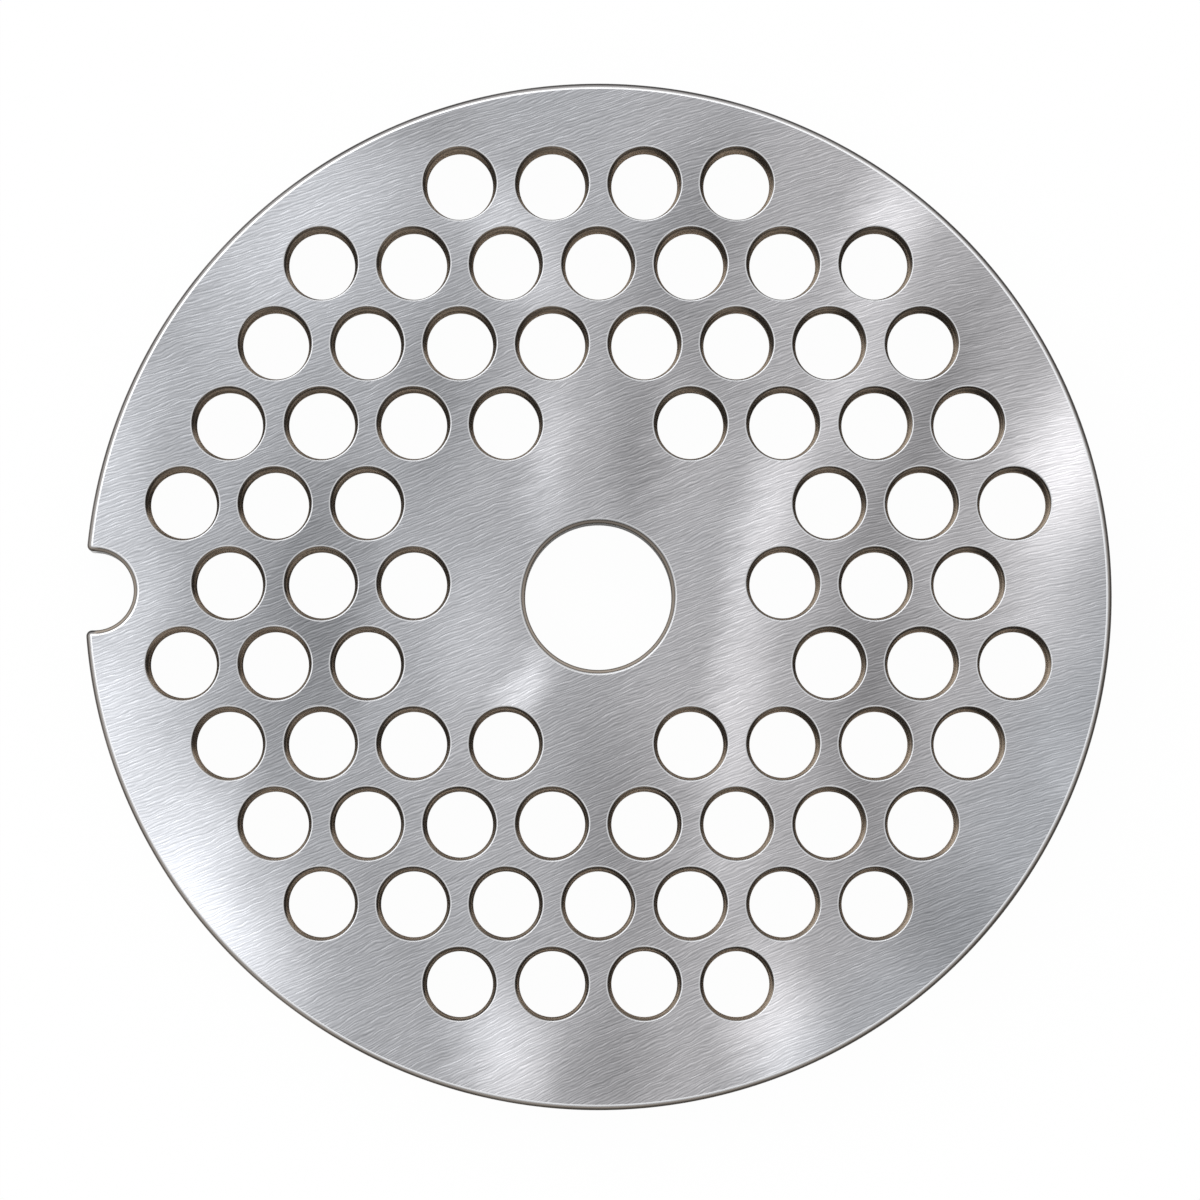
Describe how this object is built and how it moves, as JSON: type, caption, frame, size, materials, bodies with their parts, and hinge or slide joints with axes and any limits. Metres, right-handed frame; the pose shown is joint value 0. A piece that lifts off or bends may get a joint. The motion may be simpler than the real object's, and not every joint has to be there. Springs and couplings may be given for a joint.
{
  "type": "meat grinder plate",
  "caption": "Flat round steel plate for a meat grinder, with a centre bore, a key notch in its rim and a field of tapered grinding holes.",
  "frame": {"origin": "on the centre bore's axis, at the cutting face, which lies on the ground", "axes": "+Z along the bore, out of the outlet face; the key notch opens towards -X; the hole field stands a little off the axis towards +Y"},
  "size_m": [0.0699, 0.07, 0.006],
  "materials": {
    "plate_steel": "ground and brushed"
  },
  "bodies": {
    "root": {"grinder_plate": "plate_steel"}
  },
  "joints": []
}
